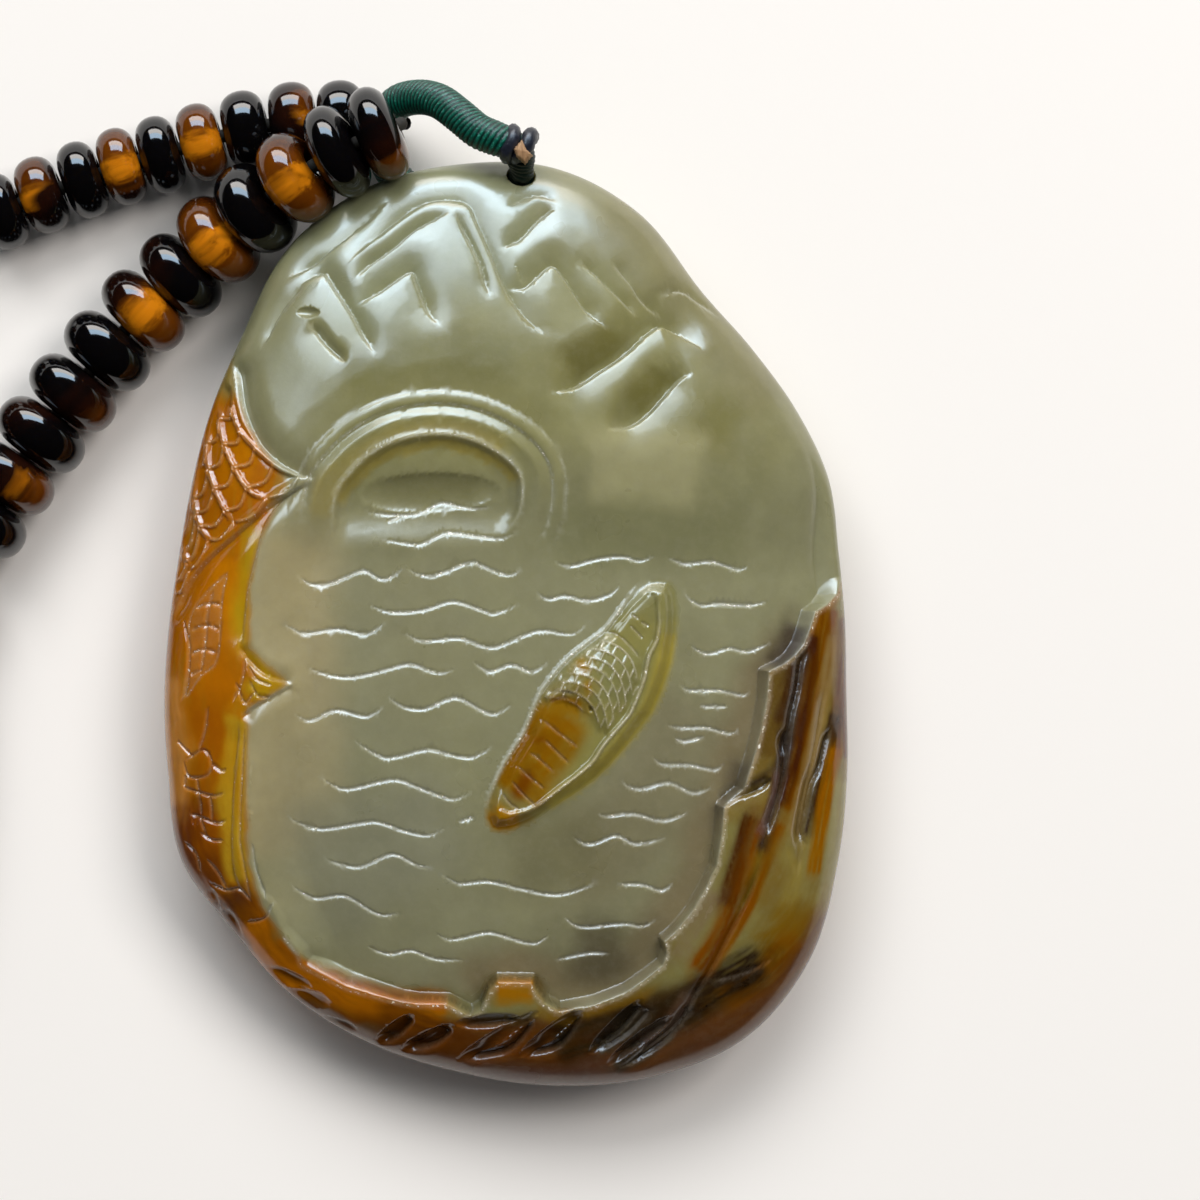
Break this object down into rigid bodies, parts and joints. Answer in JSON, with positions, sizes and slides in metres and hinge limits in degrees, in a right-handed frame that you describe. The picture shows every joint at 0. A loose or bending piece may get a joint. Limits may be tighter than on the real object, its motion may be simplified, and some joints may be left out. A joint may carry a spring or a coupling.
{
  "type": "carved jade landscape pendant on a bead necklace",
  "caption": "Pebble of green and russet jade with a river landscape carved on its front, on a whipped cord bail and a strung bead necklace.",
  "frame": {"origin": "on the table under the middle of the stone, on the flat spot of its back", "axes": "+Z away from the table, out of the carved front; +Y up the picture, towards the bail hole; +X to the right of the picture"},
  "size_m": [0.124, 0.0746, 0.0107],
  "materials": {
    "jade": "polished nephrite, green with a russet skin at its edges",
    "bail_green": "dark green thread wound over a cord",
    "binding_black": "dark wound thread",
    "cord_end_tan": "tan cut cord end",
    "thread": "dark thread",
    "bead_dark": "polished dark resin or horn, brown where light comes through",
    "bead_amber": "polished clear amber brown"
  },
  "bodies": {
    "root": {"jade_carving": "jade", "cord_bail": "bail_green", "bail_binding": "binding_black", "cord_end": "cord_end_tan", "necklace_thread": "thread", "strand_put_away": "bead_dark", "upper_bead_01": "bead_dark", "upper_bead_02": "bead_dark", "upper_bead_03": "bead_dark", "upper_bead_04": "bead_amber", "upper_bead_05": "bead_dark", "upper_bead_06": "bead_amber", "upper_bead_07": "bead_dark", "upper_bead_08": "bead_dark", "upper_bead_09": "bead_dark", "lower_bead_01": "bead_dark", "lower_bead_02": "bead_dark", "lower_bead_03": "bead_amber", "lower_bead_04": "bead_dark", "lower_bead_05": "bead_amber", "lower_bead_06": "bead_dark", "lower_bead_07": "bead_amber", "lower_bead_08": "bead_dark", "lower_bead_09": "bead_dark", "lower_bead_10": "bead_dark", "lower_bead_11": "bead_dark", "lower_bead_12": "bead_dark"}
  },
  "joints": []
}
